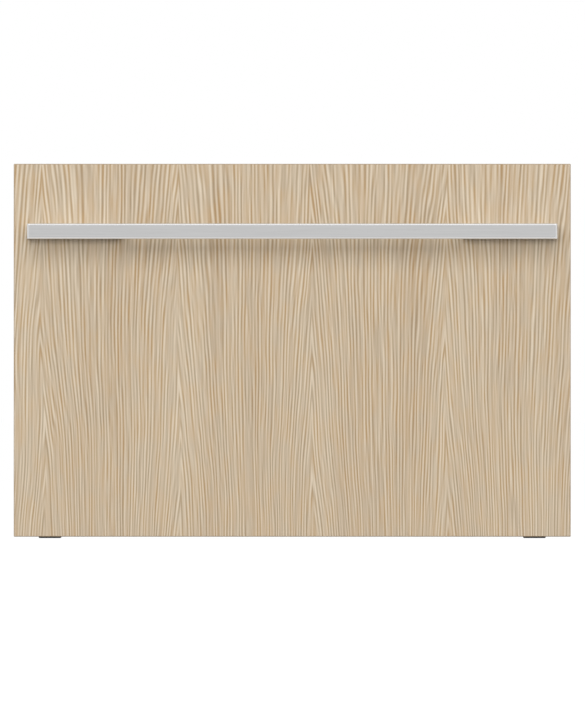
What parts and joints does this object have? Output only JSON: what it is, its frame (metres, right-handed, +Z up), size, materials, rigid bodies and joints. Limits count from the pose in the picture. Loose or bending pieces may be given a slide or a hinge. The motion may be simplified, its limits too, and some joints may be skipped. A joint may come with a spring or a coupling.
{
  "type": "dishwasher drawer",
  "caption": "Built-in dishwasher drawer with a wood front panel and bar handle, a sliding tub with basket, spray arm and lid, in a sheet steel chassis.",
  "frame": {"origin": "centre of the footprint of the whole part, on the floor that the pads stand on", "axes": "+X to the right across the front, +Y from the front panel to the back sheet, +Z up"},
  "size_m": [0.596, 0.631, 0.401],
  "materials": {
    "galvanised_sheet": "galvanised, satin",
    "zinc_plated_steel": "zinc plated, satin",
    "yellow_passivated_steel": "yellow passivated",
    "stainless_handle": "brushed along its length",
    "oak_veneer": "light oak veneer, matt lacquer",
    "black_rubber": "matt",
    "grey_rubber": "matt",
    "charcoal_plastic": "moulded, fine grain",
    "black_plastic": "moulded, satin",
    "tub_plastic": "moulded, satin",
    "white_plastic": "moulded, satin",
    "grey_plastic": "moulded, satin",
    "acetal": "machined look, satin",
    "gloss_black_strip": "gloss",
    "button_metal": "satin anodised",
    "coated_wire": "nylon coated",
    "coil_copper": "laminated core with enamelled windings",
    "ferrite": "moulded magnet and impeller"
  },
  "bodies": {
    "chassis": {"chassis_left_side": "galvanised_sheet", "chassis_right_side": "galvanised_sheet", "chassis_top": "galvanised_sheet", "chassis_back": "galvanised_sheet", "chassis_base": "galvanised_sheet", "drip_tray": "charcoal_plastic", "rubber_pads": "black_rubber", "front_trim_seal": "grey_rubber", "left_outer_rail": "zinc_plated_steel", "right_outer_rail": "zinc_plated_steel", "left_lid_motor": "black_plastic", "right_lid_motor": "black_plastic", "lid_guides": "grey_plastic", "inlet_valve": "white_plastic", "drain_outlet": "grey_plastic", "cable_gland": "black_plastic", "chassis_screws": "zinc_plated_steel"},
    "drawer": {"tub": "tub_plastic", "left_inner_rail": "zinc_plated_steel", "right_inner_rail": "zinc_plated_steel", "door_carrier": "charcoal_plastic", "wood_panel": "oak_veneer", "handle_bar": "stainless_handle", "handle_posts": "stainless_handle", "panel_brackets": "zinc_plated_steel", "drawer_screws": "zinc_plated_steel", "control_strip": "gloss_black_strip", "controller_module": "black_plastic", "dispenser_body": "grey_plastic", "basket": "coated_wire", "cutlery_basket": "grey_plastic", "filter_plate": "grey_plastic", "motor_housing": "charcoal_plastic", "motor_stator": "coil_copper"},
    "lid": {"lid_pan": "white_plastic", "lid_seal": "grey_rubber"},
    "left_yoke": {"left_yoke": "acetal"},
    "right_yoke": {"right_yoke": "acetal"},
    "left_pinion": {"left_pinion": "acetal"},
    "right_pinion": {"right_pinion": "acetal"},
    "middle_rails": {"left_middle_rail": "zinc_plated_steel", "right_middle_rail": "zinc_plated_steel"},
    "outer_cages": {"outer_ball_cages": "yellow_passivated_steel"},
    "inner_cages": {"inner_ball_cages": "yellow_passivated_steel"},
    "rear_arm": {"rear_link_arm": "grey_plastic", "rear_link_hose": "grey_rubber"},
    "front_arm": {"front_link_arm": "grey_plastic", "front_link_hose": "grey_rubber"},
    "power_button": {"power_button": "button_metal"},
    "program_button": {"program_button": "button_metal"},
    "start_button": {"start_button": "button_metal"},
    "detergent_flap": {"detergent_flap": "white_plastic"},
    "rinse_cap": {"rinse_cap": "grey_plastic"},
    "left_cup_rack": {"left_cup_rack": "grey_plastic"},
    "right_cup_rack": {"right_cup_rack": "grey_plastic"},
    "front_tines": {"front_tines": "coated_wire"},
    "rear_tines": {"rear_tines": "coated_wire"},
    "spray_arm": {"spray_arm": "grey_plastic"},
    "drain_filter": {"drain_filter": "grey_plastic"},
    "motor_rotor": {"motor_rotor": "ferrite"}
  },
  "joints": [
    {"name": "drawer_slide", "type": "slide", "parent": "chassis", "child": "drawer", "axis": [0, -1, 0], "range_m": [0, 0.5]},
    {"name": "middle_rails_slide", "type": "slide", "parent": "chassis", "child": "middle_rails", "axis": [0, -1, 0], "range_m": [0, 0.25]},
    {"name": "outer_cages_slide", "type": "slide", "parent": "chassis", "child": "outer_cages", "axis": [0, -1, 0], "range_m": [0, 0.125]},
    {"name": "inner_cages_slide", "type": "slide", "parent": "chassis", "child": "inner_cages", "axis": [0, -1, 0], "range_m": [0, 0.375]},
    {"name": "rear_arm_pivot", "type": "hinge", "parent": "chassis", "child": "rear_arm", "pos_m": [-0.23, 0.2815, 0.159], "axis": [0, 0, 1], "range_deg": [-34.5, 0.5]},
    {"name": "link_elbow", "type": "hinge", "parent": "rear_arm", "child": "front_arm", "pos_m": [0.21, 0.2815, 0.17], "axis": [0, 0, 1], "range_deg": [-0.5, 69]},
    {"name": "lid_lift", "type": "slide", "parent": "chassis", "child": "lid", "axis": [0, 0, -1], "range_m": [0, 0.01]},
    {"name": "left_yoke_slide", "type": "slide", "parent": "chassis", "child": "left_yoke", "axis": [0, 1, 0], "range_m": [0, 0.01]},
    {"name": "right_yoke_slide", "type": "slide", "parent": "chassis", "child": "right_yoke", "axis": [0, 1, 0], "range_m": [0, 0.01]},
    {"name": "left_pinion_turn", "type": "hinge", "parent": "chassis", "child": "left_pinion", "pos_m": [-0.283, 0.2795, 0.34175], "axis": [1, 0, 0], "range_deg": [-66, 5]},
    {"name": "right_pinion_turn", "type": "hinge", "parent": "chassis", "child": "right_pinion", "pos_m": [0.283, 0.2795, 0.34175], "axis": [1, 0, 0], "range_deg": [-66, 5]},
    {"name": "power_button_press", "type": "slide", "parent": "drawer", "child": "power_button", "axis": [0, 0, -1], "range_m": [0, 0.001], "stiffness_N_per_m": 400, "springref_m": -0.002},
    {"name": "program_button_press", "type": "slide", "parent": "drawer", "child": "program_button", "axis": [0, 0, -1], "range_m": [0, 0.001], "stiffness_N_per_m": 400, "springref_m": -0.002},
    {"name": "start_button_press", "type": "slide", "parent": "drawer", "child": "start_button", "axis": [0, 0, -1], "range_m": [0, 0.001], "stiffness_N_per_m": 400, "springref_m": -0.002},
    {"name": "detergent_flap_hinge", "type": "hinge", "parent": "drawer", "child": "detergent_flap", "pos_m": [-0.055, -0.193, 0.23], "axis": [-1, 0, 0], "range_deg": [0, 85]},
    {"name": "rinse_cap_turn", "type": "hinge", "parent": "drawer", "child": "rinse_cap", "pos_m": [0.055, -0.1932, 0.267], "axis": [0, 1, 0], "range_deg": [0, 90]},
    {"name": "left_cup_rack_fold", "type": "hinge", "parent": "drawer", "child": "left_cup_rack", "pos_m": [-0.239, -0.01, 0.213], "axis": [0, 1, 0], "range_deg": [0, 88]},
    {"name": "right_cup_rack_fold", "type": "hinge", "parent": "drawer", "child": "right_cup_rack", "pos_m": [0.239, -0.01, 0.213], "axis": [0, -1, 0], "range_deg": [0, 88]},
    {"name": "front_tines_fold", "type": "hinge", "parent": "drawer", "child": "front_tines", "pos_m": [0, -0.083, 0.1227], "axis": [1, 0, 0], "range_deg": [0, 82]},
    {"name": "rear_tines_fold", "type": "hinge", "parent": "drawer", "child": "rear_tines", "pos_m": [0, 0.09846, 0.1227], "axis": [1, 0, 0], "range_deg": [0, 82]},
    {"name": "spray_arm_spin", "type": "hinge", "parent": "drawer", "child": "spray_arm", "pos_m": [0, 0.0155, 0.09], "axis": [0, 0, 1], "continuous": true},
    {"name": "drain_filter_turn", "type": "hinge", "parent": "drawer", "child": "drain_filter", "pos_m": [0.041, 0.0155, 0.079], "axis": [0, 0, 1], "range_deg": [0, 90]},
    {"name": "motor_spin", "type": "hinge", "parent": "drawer", "child": "motor_rotor", "pos_m": [0, 0.0155, 0.05], "axis": [0, 0, 1], "continuous": true}
  ],
  "couplings": [
    {"joint": "middle_rails_slide", "follows": "drawer_slide", "ratio": 0.5},
    {"joint": "outer_cages_slide", "follows": "drawer_slide", "ratio": 0.25},
    {"joint": "inner_cages_slide", "follows": "drawer_slide", "ratio": 0.75},
    {"joint": "rear_arm_pivot", "follows": "drawer_slide", "rad_per_m": -1.186},
    {"joint": "link_elbow", "follows": "drawer_slide", "rad_per_m": 2.372},
    {"joint": "left_yoke_slide", "follows": "lid_lift", "ratio": 1},
    {"joint": "right_yoke_slide", "follows": "lid_lift", "ratio": 1},
    {"joint": "left_pinion_turn", "follows": "lid_lift", "rad_per_m": -111.11},
    {"joint": "right_pinion_turn", "follows": "lid_lift", "rad_per_m": -111.11}
  ]
}
